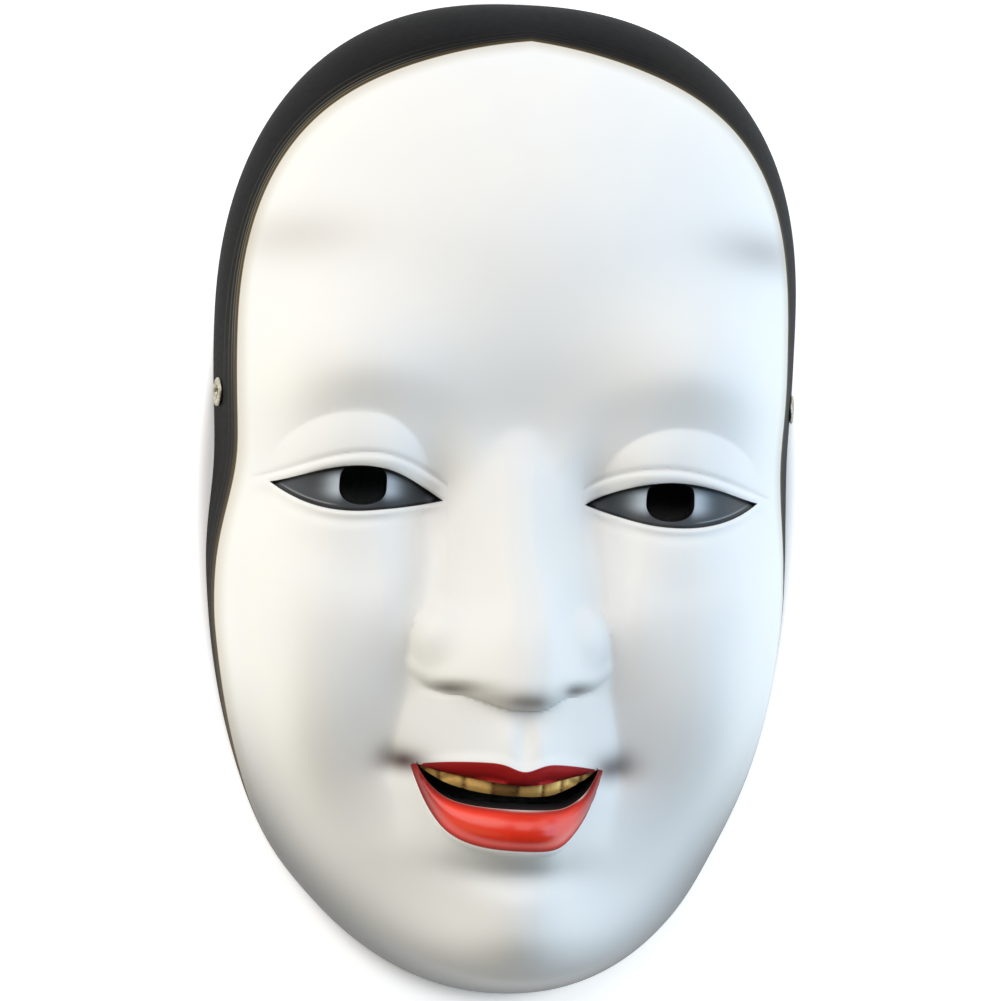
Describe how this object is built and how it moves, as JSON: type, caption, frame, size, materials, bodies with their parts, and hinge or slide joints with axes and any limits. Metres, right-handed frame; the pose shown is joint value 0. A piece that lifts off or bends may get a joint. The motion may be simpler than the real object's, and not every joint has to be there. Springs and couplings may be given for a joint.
{
  "type": "noh mask",
  "caption": "Hollow lying noh mask of a smiling young woman, with painted hair band, pierced pupils, open mouth slot and brass side eyelets.",
  "frame": {"origin": "centre of the rim plane the mask lies on, in the middle of its outline", "axes": "+Z out of the face, +Y to the crown, +X to the right of the mask as it is looked at"},
  "size_m": [0.1304, 0.2198, 0.0699],
  "materials": {
    "painted_resin": "satin white paint, with black hair, red lips and gilt teeth painted on",
    "brass": "worn satin"
  },
  "bodies": {
    "root": {"mask_shell": "painted_resin", "eyelet_left": "brass", "eyelet_right": "brass"}
  },
  "joints": []
}
